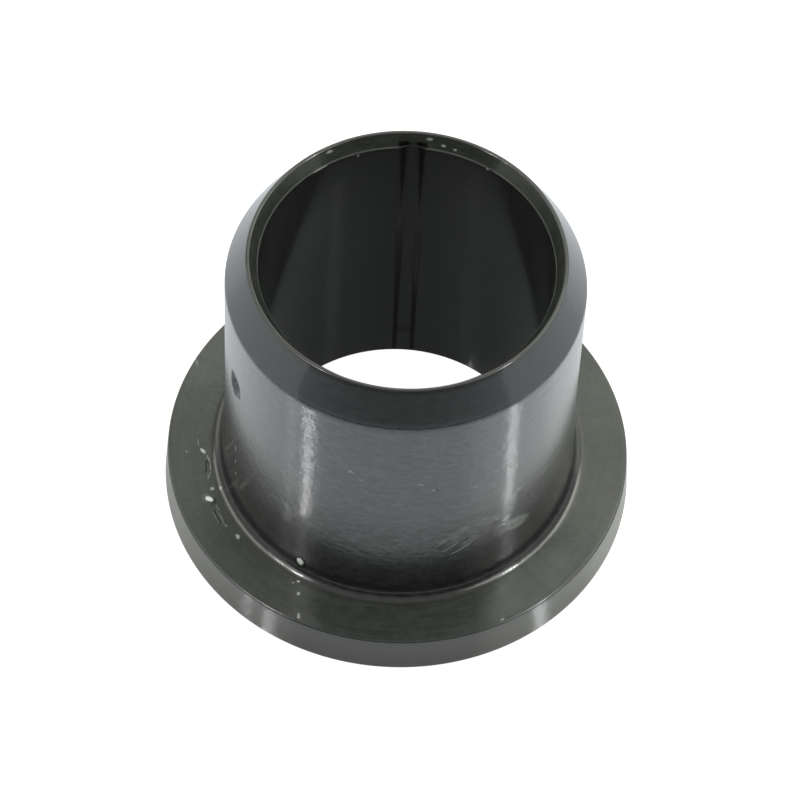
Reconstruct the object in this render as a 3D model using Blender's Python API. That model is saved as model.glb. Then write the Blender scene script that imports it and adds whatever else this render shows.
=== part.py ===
"""Flanged plain bushing, moulded in one piece from black glossy plastic.

The bushing stands on the outer face of its flange: the origin is the centre of that face, +Z runs up the
bore to the nose, and -Y faces the viewer. The barrel presses into a housing until the flange's shoulder
stops it, and a shaft runs in the bore.
"""
import math

import bmesh
import bpy

MM = 0.001

# Bore and barrel: the wall makes a barrel of 31.75 mm
BORE_DIAMETER = 25.95 * MM
WALL = 2.9 * MM
LENGTH = 33.4 * MM

# Flange: it stands out from the barrel to 42.95 mm across, and its rim draws in a little towards the shoulder
FLANGE_WIDTH = 5.6 * MM
FLANGE_THICKNESS = 4.1 * MM
RIM_DRAFT = math.radians(3.9)
SHOULDER_EDGE_ROUND = 0.2 * MM
FACE_EDGE_ROUND = 0.35 * MM
FOOT_FILLET = 1.6 * MM

# Nose: a long outer taper that finds the housing, and a short inner lead-in that finds the shaft
TAPER_LENGTH = 3.4 * MM
TAPER_SHOULDER_ROUND = 1.0 * MM
LEAD_IN_LENGTH = 1.2 * MM
LEAD_IN_DEPTH = 0.76 * MM
CREST_WIDTH = 0.29 * MM
CREST_ROUND = 0.15 * MM
FACE_CHAMFER = 1.2 * MM

BORE_RADIUS = BORE_DIAMETER / 2
BARREL_RADIUS = BORE_RADIUS + WALL
FLANGE_RADIUS = BARREL_RADIUS + FLANGE_WIDTH
SHOULDER_RADIUS = FLANGE_RADIUS - FLANGE_THICKNESS * math.tan(RIM_DRAFT)

# Grease groove: a shallow flat-floored channel with sloped flanks, cut from the nose to just above the flange
GROOVE_ANGLE = math.radians(90)
GROOVE_MOUTH_AT_NOSE = 2.55 * MM
GROOVE_MOUTH_AT_STOP = 2.0 * MM
GROOVE_FLANK_AT_NOSE = 0.95 * MM
GROOVE_FLANK_AT_STOP = 0.32 * MM
GROOVE_DEPTH_AT_NOSE = 0.27 * MM
GROOVE_DEPTH_AT_STOP = 0.11 * MM
GROOVE_ABOVE_SHOULDER = 0.3 * MM

# Gate recess: the small round pocket in the barrel's side where the plastic entered the mould
GATE_ANGLE = math.radians(203.4)
GATE_BELOW_NOSE = 11.6 * MM
GATE_DIAMETER = 2.4 * MM
GATE_DEPTH = 0.6 * MM
GATE_SIDE_DRAFT = math.radians(12)

# Facets, and how far a cutter runs past the surface that it enters
AROUND = 120
AROUND_GATE = 24
ROUND_STEP = math.radians(24)
SIDE_SHARE = 0.48
OVERSHOOT = 1 * MM

BLACK_PLASTIC = (0.018, 0.019, 0.020, 1.0)


def clear_scene():
    for thing in list(bpy.data.objects):
        bpy.data.objects.remove(thing, do_unlink=True)


def black_plastic():
    """Glossy black moulded plastic."""
    material = bpy.data.materials.new("black_plastic")
    material.use_nodes = True
    shader = material.node_tree.nodes["Principled BSDF"]
    shader.inputs["Base Color"].default_value = BLACK_PLASTIC
    shader.inputs["Roughness"].default_value = 0.28
    shader.inputs["Metallic"].default_value = 0.0
    material.diffuse_color = BLACK_PLASTIC
    return material


def rounded(corners):
    """Turn (radius, height, rounding) corners of a closed outline into points.

    Each rounding is a true arc that meets both sides squarely, and it never takes half of a side.
    """
    points = []
    for index, (r, z, rounding) in enumerate(corners):
        if rounding == 0:
            points.append((r, z))
            continue
        before = corners[index - 1]
        after = corners[(index + 1) % len(corners)]
        way_in = math.atan2(z - before[1], r - before[0])
        way_out = math.atan2(after[1] - z, after[0] - r)
        turn = (way_out - way_in + math.pi) % (2 * math.pi) - math.pi
        shorter_side = min(math.dist((r, z), before[:2]), math.dist((r, z), after[:2]))
        setback = min(rounding * math.tan(abs(turn) / 2), SIDE_SHARE * shorter_side)
        rounding = setback / math.tan(abs(turn) / 2)
        side = math.copysign(math.pi / 2, turn)
        centre_r = r - setback * math.cos(way_in) + rounding * math.cos(way_in + side)
        centre_z = z - setback * math.sin(way_in) + rounding * math.sin(way_in + side)
        steps = max(2, math.ceil(abs(turn) / ROUND_STEP))
        for step in range(steps + 1):
            angle = way_in - side + turn * step / steps
            points.append((centre_r + rounding * math.cos(angle), centre_z + rounding * math.sin(angle)))
    return points


def section():
    """The wall's outline from the bore's lower edge, out round the flange, over the nose and back down."""
    return rounded([
        (BORE_RADIUS + FACE_CHAMFER, 0, 0),
        (FLANGE_RADIUS, 0, FACE_EDGE_ROUND),
        (SHOULDER_RADIUS, FLANGE_THICKNESS, SHOULDER_EDGE_ROUND),
        (BARREL_RADIUS, FLANGE_THICKNESS, FOOT_FILLET),
        (BARREL_RADIUS, LENGTH - TAPER_LENGTH, TAPER_SHOULDER_ROUND),
        (BORE_RADIUS + LEAD_IN_DEPTH + CREST_WIDTH, LENGTH, CREST_ROUND),
        (BORE_RADIUS + LEAD_IN_DEPTH, LENGTH, CREST_ROUND),
        (BORE_RADIUS, LENGTH - LEAD_IN_LENGTH, 0),
        (BORE_RADIUS, FACE_CHAMFER, 0),
    ])


def turned_body(material):
    """Spin the section round the axis into the whole bushing."""
    mesh = bpy.data.meshes.new("flanged_bushing")
    body = bmesh.new()
    ring = [body.verts.new((r, 0, z)) for r, z in section()]
    for index, corner in enumerate(ring):
        body.edges.new((ring[index - 1], corner))
    bmesh.ops.spin(body, geom=body.verts[:] + body.edges[:], cent=(0, 0, 0), axis=(0, 0, 1),
                   angle=2 * math.pi, steps=AROUND, use_merge=True)
    bmesh.ops.recalc_face_normals(body, faces=body.faces[:])
    body.to_mesh(mesh)
    body.free()
    mesh.materials.append(material)
    mesh.shade_smooth()
    mesh.set_sharp_from_angle(angle=math.radians(30))
    bushing = bpy.data.objects.new("flanged_bushing", mesh)
    bpy.context.collection.objects.link(bushing)
    return bushing


def cutter(name, shape):
    """A hidden tool body that a Boolean takes away from the bushing."""
    mesh = bpy.data.meshes.new(name)
    bmesh.ops.recalc_face_normals(shape, faces=shape.faces[:])
    shape.to_mesh(mesh)
    shape.free()
    tool = bpy.data.objects.new(name, mesh)
    tool.hide_render = True
    tool.display_type = "WIRE"
    bpy.context.collection.objects.link(tool)
    return tool


def groove_cutter():
    """The grease groove's channel, lying on +X before it is turned to its place.

    Its flanks start on the bore's own surface, and its floor slopes out from the stop to the nose.
    """
    stop = FLANGE_THICKNESS + GROOVE_ABOVE_SHOULDER
    ends = [
        (stop, GROOVE_MOUTH_AT_STOP / 2, GROOVE_FLANK_AT_STOP, GROOVE_DEPTH_AT_STOP),
        (LENGTH, GROOVE_MOUTH_AT_NOSE / 2, GROOVE_FLANK_AT_NOSE, GROOVE_DEPTH_AT_NOSE),
        (LENGTH + OVERSHOOT, GROOVE_MOUTH_AT_NOSE / 2, GROOVE_FLANK_AT_NOSE, GROOVE_DEPTH_AT_NOSE),
    ]
    shape = bmesh.new()
    for z, half_mouth, flank, depth in ends:
        lip = math.sqrt(BORE_RADIUS ** 2 - half_mouth ** 2)
        for side in (-1, 1):
            shape.verts.new((BORE_RADIUS + depth, side * (half_mouth - flank), z))
            shape.verts.new((lip, side * half_mouth, z))
            shape.verts.new((lip - OVERSHOOT, side * half_mouth, z))
    bmesh.ops.convex_hull(shape, input=shape.verts[:])
    tool = cutter("groove_cutter", shape)
    tool.rotation_euler.z = GROOVE_ANGLE
    return tool


def gate_cutter():
    """A slightly tapered plug that leaves the round gate recess, set square to the barrel."""
    reach = GATE_DEPTH + OVERSHOOT
    mouth = GATE_DIAMETER / 2 + OVERSHOOT * math.tan(GATE_SIDE_DRAFT)
    floor = GATE_DIAMETER / 2 - GATE_DEPTH * math.tan(GATE_SIDE_DRAFT)
    shape = bmesh.new()
    bmesh.ops.create_cone(shape, cap_ends=True, segments=AROUND_GATE, radius1=floor, radius2=mouth,
                          depth=reach)
    tool = cutter("gate_cutter", shape)
    middle = BARREL_RADIUS - GATE_DEPTH + reach / 2
    tool.location = (middle * math.cos(GATE_ANGLE), middle * math.sin(GATE_ANGLE), LENGTH - GATE_BELOW_NOSE)
    tool.rotation_euler = (0, math.pi / 2, GATE_ANGLE)
    return tool


def cut(bushing, tool):
    """Take the tool body away from the bushing."""
    boolean = bushing.modifiers.new(tool.name, "BOOLEAN")
    boolean.operation = "DIFFERENCE"
    boolean.object = tool


clear_scene()
bushing = turned_body(black_plastic())
cut(bushing, groove_cutter())
cut(bushing, gate_cutter())
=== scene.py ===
"""A flanged bushing of glossy black moulded plastic, standing on its flange on a pale table."""
import math

import bmesh
import bpy
from mathutils import Matrix, Vector


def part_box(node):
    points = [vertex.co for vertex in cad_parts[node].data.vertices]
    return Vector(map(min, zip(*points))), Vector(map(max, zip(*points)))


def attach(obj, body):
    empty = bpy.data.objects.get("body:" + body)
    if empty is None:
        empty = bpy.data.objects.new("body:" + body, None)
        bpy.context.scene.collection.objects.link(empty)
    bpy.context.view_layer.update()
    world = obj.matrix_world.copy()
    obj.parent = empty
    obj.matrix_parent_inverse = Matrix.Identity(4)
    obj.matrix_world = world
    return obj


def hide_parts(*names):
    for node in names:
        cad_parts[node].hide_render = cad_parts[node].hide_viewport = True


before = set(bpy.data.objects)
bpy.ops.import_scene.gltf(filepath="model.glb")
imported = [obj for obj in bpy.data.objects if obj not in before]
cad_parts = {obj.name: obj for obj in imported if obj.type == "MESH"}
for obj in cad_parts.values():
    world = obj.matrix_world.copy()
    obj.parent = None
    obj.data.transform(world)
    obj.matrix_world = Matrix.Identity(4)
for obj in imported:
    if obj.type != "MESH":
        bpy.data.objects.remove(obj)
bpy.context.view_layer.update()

MM = 0.001

# Camera: a long lens that looks down into the bore from the front. It is rolled a little, so that the
# bushing leans to the right in the picture.
camera_height = math.radians(55.52)
camera_distance = 400 * MM
camera_roll = math.radians(2.96)
aim = Vector((0, 0, 11.65 * MM))

camera = bpy.data.objects.new("camera", bpy.data.cameras.new("camera"))
camera.data.lens = 198.2
camera.data.sensor_width = 36
camera.data.clip_start = 10 * MM
toward_camera = Vector((0, -math.cos(camera_height), math.sin(camera_height)))
camera.matrix_world = (
    Matrix.Translation(aim + toward_camera * camera_distance)
    @ toward_camera.to_track_quat("Z", "Y").to_matrix().to_4x4()
    @ Matrix.Rotation(camera_roll, 4, "Z")
)
bpy.context.collection.objects.link(camera)
bpy.context.scene.camera = camera
bpy.context.scene.view_settings.view_transform = "Standard"

# The moulding: one turned form of black plastic, run into a polished mould, its edges left slightly soft.
# The section runs out round the flange, up the barrel, over the nose and down the bore. It is spun round the
# axis, finely where the gate recess and the grease groove lie, and the hollows are pressed into the skin.
low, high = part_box("flanged_bushing")
length = high.z
flange_radius = high.x
bore_radius = 12.975 * MM
wall = 2.9 * MM
barrel_radius = bore_radius + wall
flange_thickness = 4.1 * MM
rim_draft = math.radians(3.9)
shoulder_radius = flange_radius - flange_thickness * math.tan(rim_draft)
lead_in_depth = 0.76 * MM
lead_in_length = 1.2 * MM
crest_width = 0.29 * MM
taper_length = 3.4 * MM
face_chamfer = 1.2 * MM

face_edge_round = 0.35 * MM
shoulder_edge_round = 0.2 * MM
foot_fillet = 1.05 * MM
taper_shoulder_round = 1.0 * MM
crest_round = 0.15 * MM
lead_in_round = 0.12 * MM
chamfer_round = 0.08 * MM

# The groove's half mouth, flank and depth: where it stops above the flange, and where it opens at the nose
groove_angle = math.radians(90)
groove_stop = flange_thickness + 0.3 * MM
groove_at_stop = (1.0 * MM, 0.32 * MM, 0.11 * MM)
groove_at_nose = (1.275 * MM, 0.95 * MM, 0.27 * MM)

gate_angle = math.radians(203.4)
gate_height = length - 11.6 * MM
gate_radius = 1.2 * MM
gate_depth = 0.6 * MM
gate_lip = 0.3 * MM

# The wall swells out a little towards the foot, and the swelling dies out over the flange's top.
swell = 0.34 * MM
swell_top = 14 * MM

# The longest side of a face up the section, and up to which angle the spin takes which step, in degrees
fineness = 0.45 * MM
spin_start = 97.5
spin_steps = ((197.5, 1.25), (209.5, 0.2), (441.5, 1.45), (457.5, 0.25))


def rounded_section(corners, step=math.radians(9)):
    """The section's points: each (radius, height, rounding) corner becomes an arc that meets its sides."""
    points = []
    for index, (r, z, rounding) in enumerate(corners):
        before = corners[index - 1]
        after = corners[(index + 1) % len(corners)]
        way_in = math.atan2(z - before[1], r - before[0])
        way_out = math.atan2(after[1] - z, after[0] - r)
        turn = (way_out - way_in + math.pi) % (2 * math.pi) - math.pi
        setback = rounding * math.tan(abs(turn) / 2)
        side = math.copysign(math.pi / 2, turn)
        centre_r = r - setback * math.cos(way_in) + rounding * math.cos(way_in + side)
        centre_z = z - setback * math.sin(way_in) + rounding * math.sin(way_in + side)
        steps = max(2, math.ceil(abs(turn) / step))
        for count in range(steps + 1):
            angle = way_in - side + turn * count / steps
            points.append((centre_r + rounding * math.cos(angle), centre_z + rounding * math.sin(angle)))
    return points


section = rounded_section([
    (bore_radius + face_chamfer, 0, chamfer_round),
    (flange_radius, 0, face_edge_round),
    (shoulder_radius, flange_thickness, shoulder_edge_round),
    (barrel_radius, flange_thickness, foot_fillet),
    (barrel_radius, length - taper_length, taper_shoulder_round),
    (bore_radius + lead_in_depth + crest_width, length, crest_round),
    (bore_radius + lead_in_depth, length, crest_round),
    (bore_radius, length - lead_in_length, lead_in_round),
    (bore_radius, face_chamfer, chamfer_round),
])
skin = bmesh.new()
start = math.radians(spin_start)
outline = [skin.verts.new((r * math.cos(start), r * math.sin(start), z)) for r, z in section]
for index, corner in enumerate(outline):
    skin.edges.new((outline[index - 1], corner))
for edge in list(skin.edges):
    cuts = int(edge.calc_length() / fineness)
    if cuts:
        bmesh.ops.subdivide_edges(skin, edges=[edge], cuts=cuts)
front = skin.verts[:] + skin.edges[:]
for end, step in spin_steps:
    sweep = math.radians(end) - start
    turned = bmesh.ops.spin(skin, geom=front, cent=(0, 0, 0), axis=(0, 0, 1), angle=sweep,
                            steps=round(math.degrees(sweep) / step), use_merge=False)
    front = turned["geom_last"]
    start += sweep
bmesh.ops.remove_doubles(skin, verts=skin.verts[:], dist=0.001 * MM)
bmesh.ops.recalc_face_normals(skin, faces=skin.faces[:])


def between(low_end, high_end, value):
    """0 below the low end, 1 above the high end, and a soft S in between."""
    t = min(max((value - low_end) / (high_end - low_end), 0), 1)
    return t * t * (3 - 2 * t)


for vert in skin.verts:
    r = math.hypot(vert.co.x, vert.co.y)
    angle = math.atan2(vert.co.y, vert.co.x) % (2 * math.pi)
    z = vert.co.z
    new_r = r
    if r < bore_radius + lead_in_depth and z > face_chamfer:
        along = (z - groove_stop) / (length - groove_stop)
        half_mouth, flank, depth = (
            at_stop + (at_nose - at_stop) * along for at_stop, at_nose in zip(groove_at_stop, groove_at_nose)
        )
        depth *= between(-0.01, 0.015, along)
        from_groove = abs(angle - groove_angle) * bore_radius
        floor = bore_radius + depth * between(half_mouth, half_mouth - flank, from_groove)
        new_r = max(r, floor)
    if abs(r - barrel_radius) < 0.2 * MM:
        from_gate = math.hypot((angle - gate_angle) * barrel_radius, z - gate_height)
        new_r = r - gate_depth * between(gate_radius, gate_radius - gate_lip, from_gate)
    if r > barrel_radius - 0.2 * MM and z > flange_thickness - 0.01 * MM:
        near_wall = between(barrel_radius + 2.4 * MM, barrel_radius + 1.1 * MM, r)
        new_r += swell * between(swell_top, flange_thickness, z) * near_wall
    vert.co.x *= new_r / r
    vert.co.y *= new_r / r

moulding_mesh = bpy.data.meshes.new("bushing_moulding")
skin.to_mesh(moulding_mesh)
skin.free()
moulding_mesh.shade_smooth()
moulding = bpy.data.objects.new("bushing_moulding", moulding_mesh)
bpy.context.collection.objects.link(moulding)

plastic = bpy.data.materials.new("black_plastic")
plastic.use_nodes = True
tree = plastic.node_tree
shader = tree.nodes["Principled BSDF"]
shader.inputs["IOR"].default_value = 1.65
shader.inputs["Anisotropic"].default_value = 0.85
shader.inputs["Anisotropic Rotation"].default_value = 0.25
round_the_axis = tree.nodes.new("ShaderNodeTangent")
round_the_axis.direction_type = "RADIAL"
round_the_axis.axis = "Z"
tree.links.new(round_the_axis.outputs[0], shader.inputs["Tangent"])


def worked(operation, *values):
    """The result of a Math node; each value is a number or another node's output."""
    node = tree.nodes.new("ShaderNodeMath")
    node.operation = operation
    for socket, value in zip(node.inputs, values):
        if isinstance(value, bpy.types.NodeSocket):
            tree.links.new(value, socket)
        else:
            socket.default_value = value
    return node.outputs[0]


def vector(operation, value, other=(0, 0, 0)):
    """The result of a Vector Math node on another node's output."""
    node = tree.nodes.new("ShaderNodeVectorMath")
    node.operation = operation
    tree.links.new(value, node.inputs[0])
    if isinstance(other, bpy.types.NodeSocket):
        tree.links.new(other, node.inputs[1])
    else:
        node.inputs[1].default_value = other
    return node.outputs["Value"] if operation == "LENGTH" else node.outputs["Vector"]


def ramp(value, low_end, high_end, low=0.0, high=1.0):
    """Softly from one number at the low end to another at the high end."""
    node = tree.nodes.new("ShaderNodeMapRange")
    node.interpolation_type = "SMOOTHSTEP"
    for name, number in (("From Min", low_end), ("From Max", high_end), ("To Min", low), ("To Max", high)):
        if isinstance(number, bpy.types.NodeSocket):
            tree.links.new(number, node.inputs[name])
        else:
            node.inputs[name].default_value = number
    tree.links.new(value, node.inputs["Value"])
    return node.outputs[0]


def noise(coordinates, scale, detail=2.0, distortion=0.0):
    """Cloudy noise from 0 to 1, with this many lumps to a metre."""
    node = tree.nodes.new("ShaderNodeTexNoise")
    node.inputs["Scale"].default_value = scale
    node.inputs["Detail"].default_value = detail
    node.inputs["Distortion"].default_value = distortion
    tree.links.new(coordinates, node.inputs["Vector"])
    return node.outputs[0]


def blend(share, first, second):
    """A colour mixed from two; each is a colour or another node's output."""
    node = tree.nodes.new("ShaderNodeMix")
    node.data_type = "RGBA"
    tree.links.new(share, node.inputs["Factor"])
    for socket, colour in ((node.inputs["A"], first), (node.inputs["B"], second)):
        if isinstance(colour, bpy.types.NodeSocket):
            tree.links.new(colour, socket)
        else:
            socket.default_value = (*colour, 1)
    return node.outputs["Result"]


place = tree.nodes.new("ShaderNodeTexCoord").outputs["Object"]
apart = tree.nodes.new("ShaderNodeSeparateXYZ")
tree.links.new(place, apart.inputs[0])
across, ahead, height = apart.outputs

# Coordinates for patterns that run round the axis. The first is a place on one ring, whatever the radius, and
# the second adds the height, stretched so that the pattern comes out as flat streaks.
ring_radius = 16 * MM
stretch = 2.2
flat = vector("MULTIPLY", place, (1, 1, 0))
radius = vector("LENGTH", flat)
around = vector("MULTIPLY", vector("NORMALIZE", flat), (ring_radius, ring_radius, 0))
squat = vector("ADD", around, vector("MULTIPLY", place, (0, 0, stretch)))

# Where the surfaces lie: the flange's top, the lead-in, the groove's two flanks, and the barrel's wall.
flank_middle = 0.82 * MM
on_top = worked("MULTIPLY", ramp(radius, barrel_radius + 1.0 * MM, barrel_radius + 1.6 * MM),
                ramp(radius, flange_radius - 0.45 * MM, flange_radius - 0.3 * MM, 1, 0))
on_lead_in = worked("MULTIPLY", ramp(height, length - 1.3 * MM, length - 1.15 * MM),
                    ramp(radius, bore_radius + 0.62 * MM, bore_radius + lead_in_depth, 1, 0))
half_flank = ramp(height, groove_stop, length, 0.27 * MM, 0.58 * MM)
from_flank = worked("ABSOLUTE", worked("SUBTRACT", worked("ABSOLUTE", across), flank_middle))
on_flank = worked("MULTIPLY", ramp(from_flank, worked("MULTIPLY", half_flank, 0.6), half_flank, 1, 0),
                  worked("MULTIPLY", ramp(ahead, 0, 1 * MM),
                         ramp(radius, bore_radius + 0.275 * MM, bore_radius + 0.425 * MM, 1, 0)))
on_wall = worked("MULTIPLY", ramp(radius, barrel_radius - 0.15 * MM, barrel_radius - 0.05 * MM),
                 ramp(radius, barrel_radius + 0.6 * MM, barrel_radius + 1.0 * MM, 1, 0))

# Marks: nicks, scratches, dust and scuffs of handling, with painted glints, reflections and light among them,
# each a soft-edged patch of this one group.
mark = bpy.data.node_groups.new("mark", "ShaderNodeTree")
for socket in ("Place", "Centre", "Turn", "Half Size"):
    mark.interface.new_socket(socket, in_out="INPUT", socket_type="NodeSocketVector")
mark.interface.new_socket("Mask", in_out="OUTPUT", socket_type="NodeSocketFloat")
group_input = mark.nodes.new("NodeGroupInput")
group_output = mark.nodes.new("NodeGroupOutput")
moved = mark.nodes.new("ShaderNodeMapping")
moved.vector_type = "TEXTURE"
for socket, name in zip(moved.inputs, ("Place", "Centre", "Turn", "Half Size")):
    mark.links.new(group_input.outputs[name], socket)
distance = mark.nodes.new("ShaderNodeVectorMath")
distance.operation = "LENGTH"
mark.links.new(moved.outputs[0], distance.inputs[0])
soft = mark.nodes.new("ShaderNodeMapRange")
soft.interpolation_type = "SMOOTHSTEP"
soft.inputs["From Min"].default_value = 1.0
soft.inputs["From Max"].default_value = 0.45
mark.links.new(distance.outputs["Value"], soft.inputs["Value"])
mark.links.new(soft.outputs[0], group_output.inputs[0])

# On the flange's top, in mm and degrees: the place, half the length and width, the turn, how pale it is (0 is
# not at all), and how far it stands out.
top_marks = [
    # Painted glints: the entries both raised and pale by 0.35 or more are the cores of the real beads on the
    # front left, whitened where they catch the lamps.
    (-17.84, -1.64, 0.46, 0.20, -47, 0.70, 0.06), (-18.35, -0.75, 0.55, 0.11, -75, 0.10, 0.0),
    (-17.33, -2.43, 0.60, 0.12, -64, 0.16, 0.0), (-17.03, -3.35, 0.61, 0.11, -81, 0.16, 0.04),
    (-17.07, -4.29, 0.57, 0.11, -100, 0.14, 0.04), (-17.36, -3.35, 0.95, 0.15, -88, 0.0, -0.10),
    (-16.70, -5.70, 0.25, 0.24, 0, 0.45, 0.07), (-15.97, -5.63, 0.40, 0.20, -65, 0.50, 0.07),
    (-16.94, -6.84, 0.48, 0.29, -27, 1.50, 0.06), (-16.97, -6.90, 0.80, 0.52, -27, 0.0, 0.07),
    (-16.10, -7.79, 0.55, 0.11, -66, 0.10, 0.0), (-15.64, -8.85, 0.80, 0.11, -64, 0.12, 0.05),
    (-15.95, -8.75, 1.10, 0.14, -64, 0.0, -0.07), (-16.20, -8.85, 0.90, 0.10, -62, 0.08, 0.0),
    (-15.23, -9.64, 0.24, 0.14, -51, 0.18, 0.0), (-14.06, -10.76, 0.36, 0.24, -54, 0.35, 0.06),
    (-19.35, -1.78, 0.14, 0.12, 0, 0.22, 0.0), (15.58, -14.45, 0.20, 0.12, 38, 0.22, 0.0),
    (10.22, -18.14, 0.24, 0.12, 37, 0.20, 0.0), (10.34, -15.64, 2.18, 0.30, -91, 0.02, 0.0),
    (18.50, 4.04, 2.07, 0.22, 10, 0.022, 0.0), (-19.12, 8.29, 0.63, 0.14, -86, 0.12, 0.0),
    # Painted reflection: the four pale spots round (-8, -15) to (-8, -19) lie in line with the left streak
    # and stand in for its reflection across the top.
    (-8.29, -15.24, 0.20, 0.16, 0, 0.30, 0.0), (-8.22, -16.51, 0.26, 0.20, -87, 0.28, 0.04),
    (-8.08, -18.88, 0.40, 0.18, -87, 0.30, 0.04), (-8.80, -15.40, 0.16, 0.12, 0, 0.15, 0.0),
    # Painted light: the three wide faint patches, at the right front and the two back sides, make the top
    # lighter where the softboxes' light falls on it.
    (12.60, -14.20, 6.50, 3.20, 48, 0.035, 0.0), (18.20, 6.00, 6.00, 3.20, 108, 0.016, 0.0),
    (-17.50, 9.50, 6.00, 3.20, 62, 0.016, 0.0),
]

# On the barrel's wall the same, where the place is an angle round the axis and a height.
wall_marks = [
    (313.4, 10.20, 2.00, 1.10, -20, 0.120, 0.0), (308.5, 10.90, 1.70, 1.60, -30, 0.060, 0.0),
    (290.0, 12.57, 2.40, 0.75, 38, 0.055, 0.0), (301.7, 13.20, 1.80, 0.80, -15, 0.045, 0.0),
    (295.0, 11.30, 1.60, 0.55, 30, 0.035, 0.0),
    (306.7, 11.56, 0.26, 0.30, 0, 0.0, -0.12), (311.2, 11.38, 0.34, 0.26, 0, 0.0, -0.12),
    (286.8, 11.45, 1.04, 0.16, 36, 0.0, -0.08), (292.0, 11.12, 1.41, 0.18, 26, 0.0, -0.08),
    (289.0, 10.85, 1.11, 0.15, 35, 0.14, 0.03), (292.9, 10.28, 1.64, 0.15, 26, 0.14, 0.03),
    (255.8, 22.64, 0.46, 0.22, -37, 0.26, 0.03), (258.6, 21.94, 0.70, 0.16, -45, 0.08, 0.0),
    (277.9, 21.71, 0.42, 0.17, -13, 0.15, 0.0), (282.1, 20.60, 0.24, 0.20, 0, 0.14, 0.0),
    (283.2, 20.55, 0.16, 0.12, 0, 0.0, -0.06), (295.8, 19.61, 0.46, 0.18, -20, 0.14, 0.0),
    # Painted highlight: the pale patch at 309.6 degrees, 20.38 mm high, is a bright knot on the right streak.
    (309.6, 20.38, 0.36, 0.60, 0, 0.45, 0.0), (314.3, 15.39, 0.62, 0.18, 10, 0.09, 0.0),
    # Painted glint: the very pale core low at 239.4 degrees is a painted highlight at the foot of the left
    # streak, on a real small raised pip.
    (239.4, 5.45, 0.44, 0.62, 0, 1.50, 0.05), (239.4, 5.40, 0.66, 0.90, 0, 0.0, 0.05),
    (204.0, 12.0, 0.10, 0.50, 0, 0.25, 0.0), (204.5, 10.2, 0.10, 0.42, 0, 0.20, 0.0),
    (205.5, 8.6, 0.10, 0.40, 0, 0.22, 0.0), (206.5, 7.0, 0.12, 0.35, 0, 0.12, 0.0),
    (262.0, 17.5, 0.60, 0.20, -8, 0.035, 0.0), (271.0, 18.6, 0.70, 0.18, 6, 0.03, 0.0),
    (250.0, 19.5, 0.50, 0.18, -12, 0.03, 0.0), (287.0, 15.8, 0.60, 0.18, -10, 0.04, 0.0),
]

# On the lead-in, thin pale lines: the place, the height from the nose, half the length, the turn, how pale.
lip_width = 0.14
lip_height = 0.16
lip_marks = [
    (1.43, 13.43, -0.35, 0.38, -3, 0.26), (2.69, 13.02, -0.70, 0.30, -12, 0.30),
    # Painted glint: the two lines round (-7.3, 11.4) and (-8.1, 10.1) stand in for the bright glint on the
    # bore's edge.
    (3.72, 12.71, -0.80, 0.22, -17, 0.20), (-7.32, 11.41, -0.28, 0.46, 33, 0.25),
    (-8.10, 10.10, -1.20, 1.00, 39, 0.35), (-4.84, 12.05, -1.45, 0.16, 0, 0.40),
    (6.66, 11.13, -1.30, 0.16, 0, 0.40),
]

# The marks' edges are ragged, because the place that they read wanders by a fraction of a millimetre.
raggedness = 0.16 * MM
wander = tree.nodes.new("ShaderNodeTexNoise")
wander.inputs["Scale"].default_value = 2400
wander.inputs["Detail"].default_value = 2
tree.links.new(place, wander.inputs["Vector"])
drift = vector("MULTIPLY", vector("SUBTRACT", wander.outputs["Color"], (0.5, 0.5, 0.5)), [raggedness] * 3)
ragged = vector("ADD", place, drift)


def spread(marks):
    """How pale, and how far stood out, a set of marks makes the skin."""
    palest = worked("ADD", 0.0, 0.0)
    relief = worked("ADD", 0.0, 0.0)
    for centre, turn, half_size, pale, rise in marks:
        spot = tree.nodes.new("ShaderNodeGroup")
        spot.node_tree = mark
        spot.inputs["Centre"].default_value = [value * MM for value in centre]
        spot.inputs["Turn"].default_value = [math.radians(value) for value in turn]
        spot.inputs["Half Size"].default_value = [value * MM for value in half_size]
        tree.links.new(ragged, spot.inputs["Place"])
        if pale:
            palest = worked("MAXIMUM", palest, worked("MULTIPLY", spot.outputs[0], pale))
        if rise:
            relief = worked("ADD", relief, worked("MULTIPLY", spot.outputs[0], rise))
    return palest, relief


top_pale, top_relief = spread([
    ((x, y, flange_thickness / MM), (0, 0, turn), (half, wide, 0.5), pale, rise)
    for x, y, half, wide, turn, pale, rise in top_marks
])
barrel = barrel_radius / MM
wall_pale, wall_relief = spread([
    ((barrel * math.cos(math.radians(azimuth)), barrel * math.sin(math.radians(azimuth)), z),
     (tilt, 0, azimuth), (1.2, half, wide), pale, rise)
    for azimuth, z, half, wide, tilt, pale, rise in wall_marks
])
lip_pale = spread([
    ((x, y, length / MM + from_nose), (0, 0, turn), (half, lip_width, lip_height), pale, 0)
    for x, y, from_nose, half, turn, pale in lip_marks
])[0]
paleness = worked("MAXIMUM", top_pale, worked("MAXIMUM", wall_pale, lip_pale))

# Colour: black, a little mottled, faintly hazed on the flange's top and the lead-in, with a painted highlight
# line where the lead-in meets the bore, painted shade on the groove's flanks, and pale where the marks and
# the painted
# glints are. The haze lies in rings: it changes slowly round the axis and fast outward.
black_low = (0.0095, 0.010, 0.010)
black_high = (0.014, 0.0145, 0.0145)
wall_low = (0.003, 0.003, 0.003)
wall_high = (0.030, 0.031, 0.034)
haze_low = (0.0180, 0.0202, 0.0172)
haze_high = (0.0280, 0.0305, 0.0268)
# Painted shade for the groove's flanks
flank_painted_shade = (0.002, 0.002, 0.002)
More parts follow.
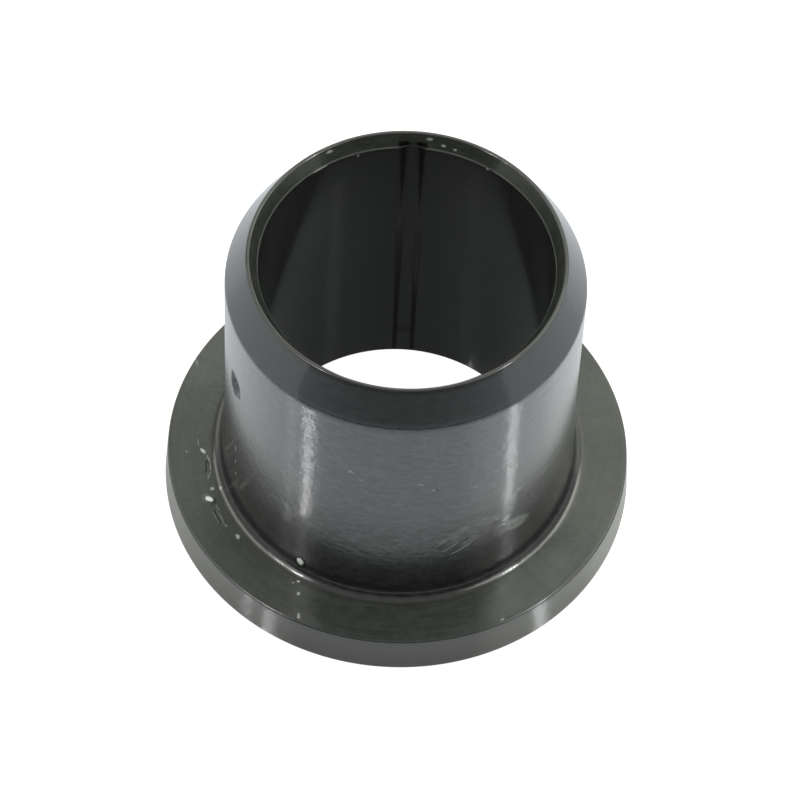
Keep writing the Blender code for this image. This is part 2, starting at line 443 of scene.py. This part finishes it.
# Pale of the dust, scratches and scuffs, and also of the painted glints, painted reflections and painted edge
# highlight
pale_mark_and_glint = (0.78, 0.80, 0.77)
slow_round = 0.35
fast_outward = 2.5
grain = noise(place, 2400, 2.0)
rings = vector("MULTIPLY", around, (slow_round, slow_round, 0))
outward = tree.nodes.new("ShaderNodeCombineXYZ")
tree.links.new(worked("MULTIPLY", radius, fast_outward), outward.inputs["Z"])
turning = noise(vector("ADD", rings, outward.outputs[0]), 900, 3.0)
cloudy = worked("ADD", worked("MULTIPLY", noise(place, 900, 3.0), 0.45), worked("MULTIPLY", turning, 0.55))
streaky = noise(squat, 1100, 3.0)
mottle = worked("ADD", worked("MULTIPLY", grain, 0.35), worked("MULTIPLY", streaky, 0.65))
even = blend(ramp(mottle, 0.36, 0.64), black_low, black_high)
uneven_wall = blend(ramp(mottle, 0.38, 0.66), wall_low, wall_high)
above_foot = ramp(height, 8 * MM, 13 * MM, 0.35, 1.0)
plain = blend(worked("MULTIPLY", on_wall, above_foot), even, uneven_wall)
haze = blend(ramp(cloudy, 0.36, 0.64), haze_low, haze_high)
hazed = blend(worked("MAXIMUM", on_top, on_lead_in), plain, haze)
# Painted shade: the groove's flanks are darkened in the colour, standing in for the dark that they mirror.
shaded = blend(on_flank, hazed, flank_painted_shade)
# Painted highlight: a faint pale ring where the lead-in meets the bore, standing in for the bright edge line.
inner_edge = worked("ABSOLUTE", worked("SUBTRACT", height, length - 1.13 * MM))
painted_edge_highlight = worked("MULTIPLY", ramp(inner_edge, 0.05 * MM, 0.11 * MM, 0.07, 0.0),
                 ramp(radius, bore_radius + 0.2 * MM, bore_radius + 0.3 * MM, 1, 0))
patchy = worked("MULTIPLY", worked("MAXIMUM", paleness, painted_edge_highlight), ramp(streaky, 0.2, 0.6, 0.6, 1.15))
marked = blend(patchy, shaded, pale_mark_and_glint)
tree.links.new(marked, shader.inputs["Base Color"])

# Finish: glossy, duller on the flange's top, where the marks are and low on the groove's flanks, with a faint
# unevenness all over.
polish = 0.18
top_polish = 0.27
mark_dulling = 0.25
flank_dulling = 0.4
finish = worked("ADD", ramp(on_top, 0, 1, polish, top_polish), ramp(paleness, 0.05, 0.3, 0.0, mark_dulling))
dull_flank = worked("MULTIPLY", on_flank, ramp(height, 15 * MM, 22 * MM, flank_dulling, 0.0))
tree.links.new(worked("ADD", finish, dull_flank), shader.inputs["Roughness"])
waves = worked("ADD", worked("MULTIPLY", noise(place, 1500, 2.0), 0.024),
               worked("MULTIPLY", noise(squat, 900, 2.0), 0.008))
uneven = worked("MULTIPLY", waves, ramp(on_wall, 0, 1, 0.3, 1.0))
bump = tree.nodes.new("ShaderNodeBump")
bump.inputs["Distance"].default_value = 1 * MM
tree.links.new(worked("ADD", worked("ADD", top_relief, wall_relief), uneven), bump.inputs["Height"])
tree.links.new(bump.outputs[0], shader.inputs["Normal"])
moulding_mesh.materials.append(plastic)

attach(moulding, "root")
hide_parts("flanged_bushing")

# Table: a white glossy top that runs on out of view. It is seen as plain white, and it keeps a little of the
# bushing's shadow. Mirrored in the plastic, its white fades out towards the bushing, where no light reaches.
shade_radius = 22 * MM
light_radius = 28.5 * MM
table_reach = 5
table_mesh = bpy.data.meshes.new("table")
top = bmesh.new()
bmesh.ops.create_grid(top, x_segments=1, y_segments=1, size=table_reach)
top.to_mesh(table_mesh)
top.free()
table = bpy.data.objects.new("table", table_mesh)
bpy.context.collection.objects.link(table)
white = bpy.data.materials.new("white_top")
white.use_nodes = True
top_tree = white.node_tree
top_shader = top_tree.nodes["Principled BSDF"]
top_shader.inputs["Roughness"].default_value = 0.1
top_shader.inputs["IOR"].default_value = 1.9
top_place = top_tree.nodes.new("ShaderNodeTexCoord")
from_axis = top_tree.nodes.new("ShaderNodeVectorMath")
from_axis.operation = "LENGTH"
open_top = top_tree.nodes.new("ShaderNodeMapRange")
open_top.interpolation_type = "SMOOTHSTEP"
open_top.inputs["From Min"].default_value = shade_radius
open_top.inputs["From Max"].default_value = light_radius
open_top.inputs["To Min"].default_value = 0.08
path = top_tree.nodes.new("ShaderNodeLightPath")
in_plastic = top_tree.nodes.new("ShaderNodeMath")
in_plastic.operation = "MAXIMUM"
beside = top_tree.nodes.new("ShaderNodeMath")
beside.operation = "MULTIPLY"
seen = top_tree.nodes.new("ShaderNodeMath")
seen.operation = "MAXIMUM"
tone = top_tree.nodes.new("ShaderNodeMix")
tone.data_type = "RGBA"
tone.inputs["A"].default_value = (0.95, 1.0, 1.09, 1)
tone.inputs["B"].default_value = (1, 1, 1, 1)
colour = top_tree.nodes.new("ShaderNodeMix")
colour.data_type = "RGBA"
colour.inputs["A"].default_value = (0.74, 0.74, 0.74, 1)
colour.inputs["B"].default_value = (0.1, 0.1, 0.1, 1)
top_tree.links.new(top_place.outputs["Object"], from_axis.inputs[0])
top_tree.links.new(from_axis.outputs["Value"], open_top.inputs["Value"])
top_tree.links.new(path.outputs["Is Glossy Ray"], in_plastic.inputs[0])
top_tree.links.new(path.outputs["Is Transmission Ray"], in_plastic.inputs[1])
top_tree.links.new(in_plastic.outputs[0], beside.inputs[0])
top_tree.links.new(open_top.outputs[0], beside.inputs[1])
top_tree.links.new(path.outputs["Is Camera Ray"], seen.inputs[0])
top_tree.links.new(path.outputs["Is Camera Ray"], tone.inputs["Factor"])
top_tree.links.new(tone.outputs["Result"], top_shader.inputs["Emission Color"])
top_tree.links.new(beside.outputs[0], seen.inputs[1])
top_tree.links.new(seen.outputs[0], top_shader.inputs["Emission Strength"])
top_tree.links.new(seen.outputs[0], colour.inputs["Factor"])
top_tree.links.new(colour.outputs["Result"], top_shader.inputs["Base Color"])
table_mesh.materials.append(white)

# Card: a sheet of black felt that stands on the table, bent round behind the camera. The taper at the front
# mirrors it and so stays dark.
card_radius = 1.0
card_top = 0.75
card_mesh = bpy.data.meshes.new("card")
sheet = bmesh.new()
left_end = math.radians(216)
right_end = math.radians(328)
foot = sheet.verts.new((card_radius * math.cos(left_end), card_radius * math.sin(left_end), 0))
peak = sheet.verts.new((card_radius * math.cos(left_end), card_radius * math.sin(left_end), card_top))
side = sheet.edges.new((foot, peak))
bmesh.ops.spin(sheet, geom=[foot, peak, side], cent=(0, 0, 0), axis=(0, 0, 1), angle=right_end - left_end,
               steps=24, use_merge=False)
sheet.to_mesh(card_mesh)
sheet.free()
card = bpy.data.objects.new("card", card_mesh)
bpy.context.collection.objects.link(card)
felt = bpy.data.materials.new("black_felt")
felt.use_nodes = True
felt.node_tree.nodes["Principled BSDF"].inputs["Base Color"].default_value = (0.03, 0.03, 0.03, 1)
felt.node_tree.nodes["Principled BSDF"].inputs["Roughness"].default_value = 0.9
felt.node_tree.nodes["Principled BSDF"].inputs["Specular IOR Level"].default_value = 0.1
card_mesh.materials.append(felt)

# Studio light: a pale room, wide softboxes to the right, the left and behind, and two pairs of small
# spots whose mirror images in the table top draw the two bright streaks down the barrel and the rim.
world = bpy.data.worlds.new("room")
bpy.context.scene.world = world
world.use_nodes = True
world.node_tree.nodes["Background"].inputs["Color"].default_value = (0.56, 0.58, 0.55, 1)

# A metre away: the direction round and up, the width and height as seen from the bushing, in degrees, the
# brightness, and the tint
lamps = [
    ("right_softbox", 0, 50, 60, 22, 3.5, (0.97, 1.0, 0.90)),
    ("back_right_softbox", 60, 50, 60, 22, 1.5, (0.97, 1.0, 0.86)),
    ("left_softbox", 180, 50, 60, 22, 2.7, (0.97, 1.0, 0.90)),
    ("back_softbox", 90, 25, 120, 28, 1.1, (0.97, 1.0, 0.90)),
    ("left_spot", 209.6, 55.5, 2.0, 5, 145, (1.0, 1.0, 1.0)),
    ("left_low_spot", 202.6, 47.7, 1.8, 4, 75, (1.0, 1.0, 1.0)),
    ("right_spot", 350.4, 55.5, 2.0, 5, 80, (0.97, 1.0, 1.0)),
    ("right_low_spot", 342, 47.7, 1.8, 4, 150, (0.97, 1.0, 1.0)),
]
for name, azimuth, elevation, wide, tall, brightness, tint in lamps:
    lamp = bpy.data.lights.new(name, "AREA")
    lamp.shape = "RECTANGLE"
    lamp.size = 2 * math.tan(math.radians(wide / 2))
    lamp.size_y = 2 * math.tan(math.radians(tall / 2))
    lamp.energy = brightness * math.pi * lamp.size * lamp.size_y
    lamp.color = tint
    holder = bpy.data.objects.new(name, lamp)
    way = Vector((math.cos(math.radians(azimuth)) * math.cos(math.radians(elevation)),
                  math.sin(math.radians(azimuth)) * math.cos(math.radians(elevation)),
                  math.sin(math.radians(elevation))))
    holder.matrix_world = Matrix.Translation(way) @ way.to_track_quat("Z", "Y").to_matrix().to_4x4()
    bpy.context.collection.objects.link(holder)
